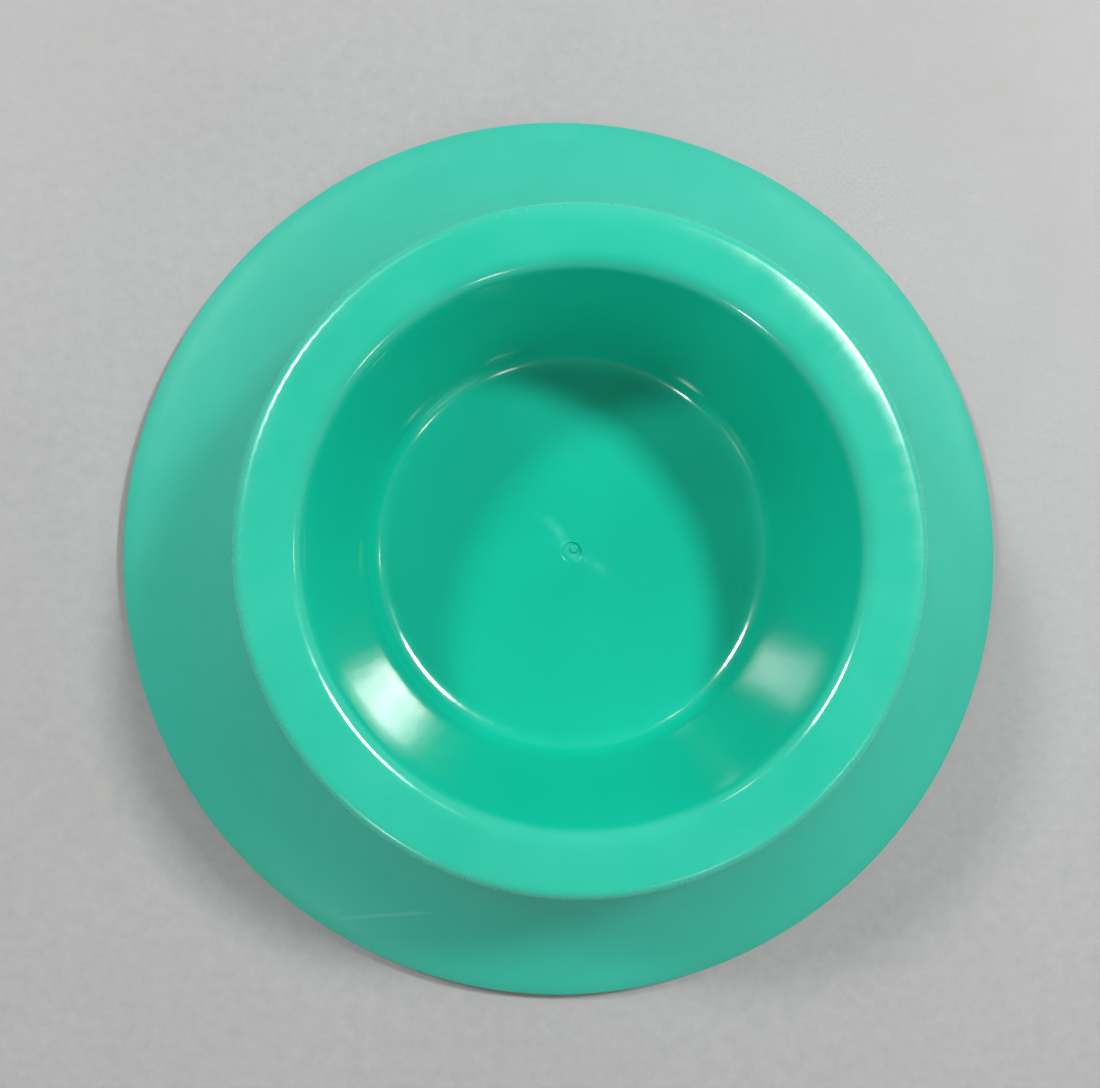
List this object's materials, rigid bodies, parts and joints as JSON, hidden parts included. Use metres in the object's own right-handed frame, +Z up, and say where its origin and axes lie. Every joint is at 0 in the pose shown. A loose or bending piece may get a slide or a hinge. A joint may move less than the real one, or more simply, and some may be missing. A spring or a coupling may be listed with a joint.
{
  "type": "non-tip bowl",
  "caption": "Deep round dish that lifts out of a wide, hollow, flared base so that it cannot be tipped over.",
  "frame": {"origin": "centre of the base on the ground", "axes": "+Z up along the axis of revolution, out of the bowl's mouth; X and Y lie on the ground and are interchangeable"},
  "size_m": [0.25, 0.25, 0.064],
  "materials": {
    "glossy_shell": "glossy injection-moulded polypropylene",
    "matte_shell": "fine matte injection-moulded polypropylene",
    "soft_ring": "matte"
  },
  "bodies": {
    "stand": {"base": "matte_shell", "anti_slip_ring": "soft_ring"},
    "dish": {"bowl": "glossy_shell"}
  },
  "joints": [
    {"name": "bowl_lift", "type": "slide", "parent": "stand", "child": "dish", "axis": [0, 0, 1], "range_m": [0, 0.06]}
  ]
}
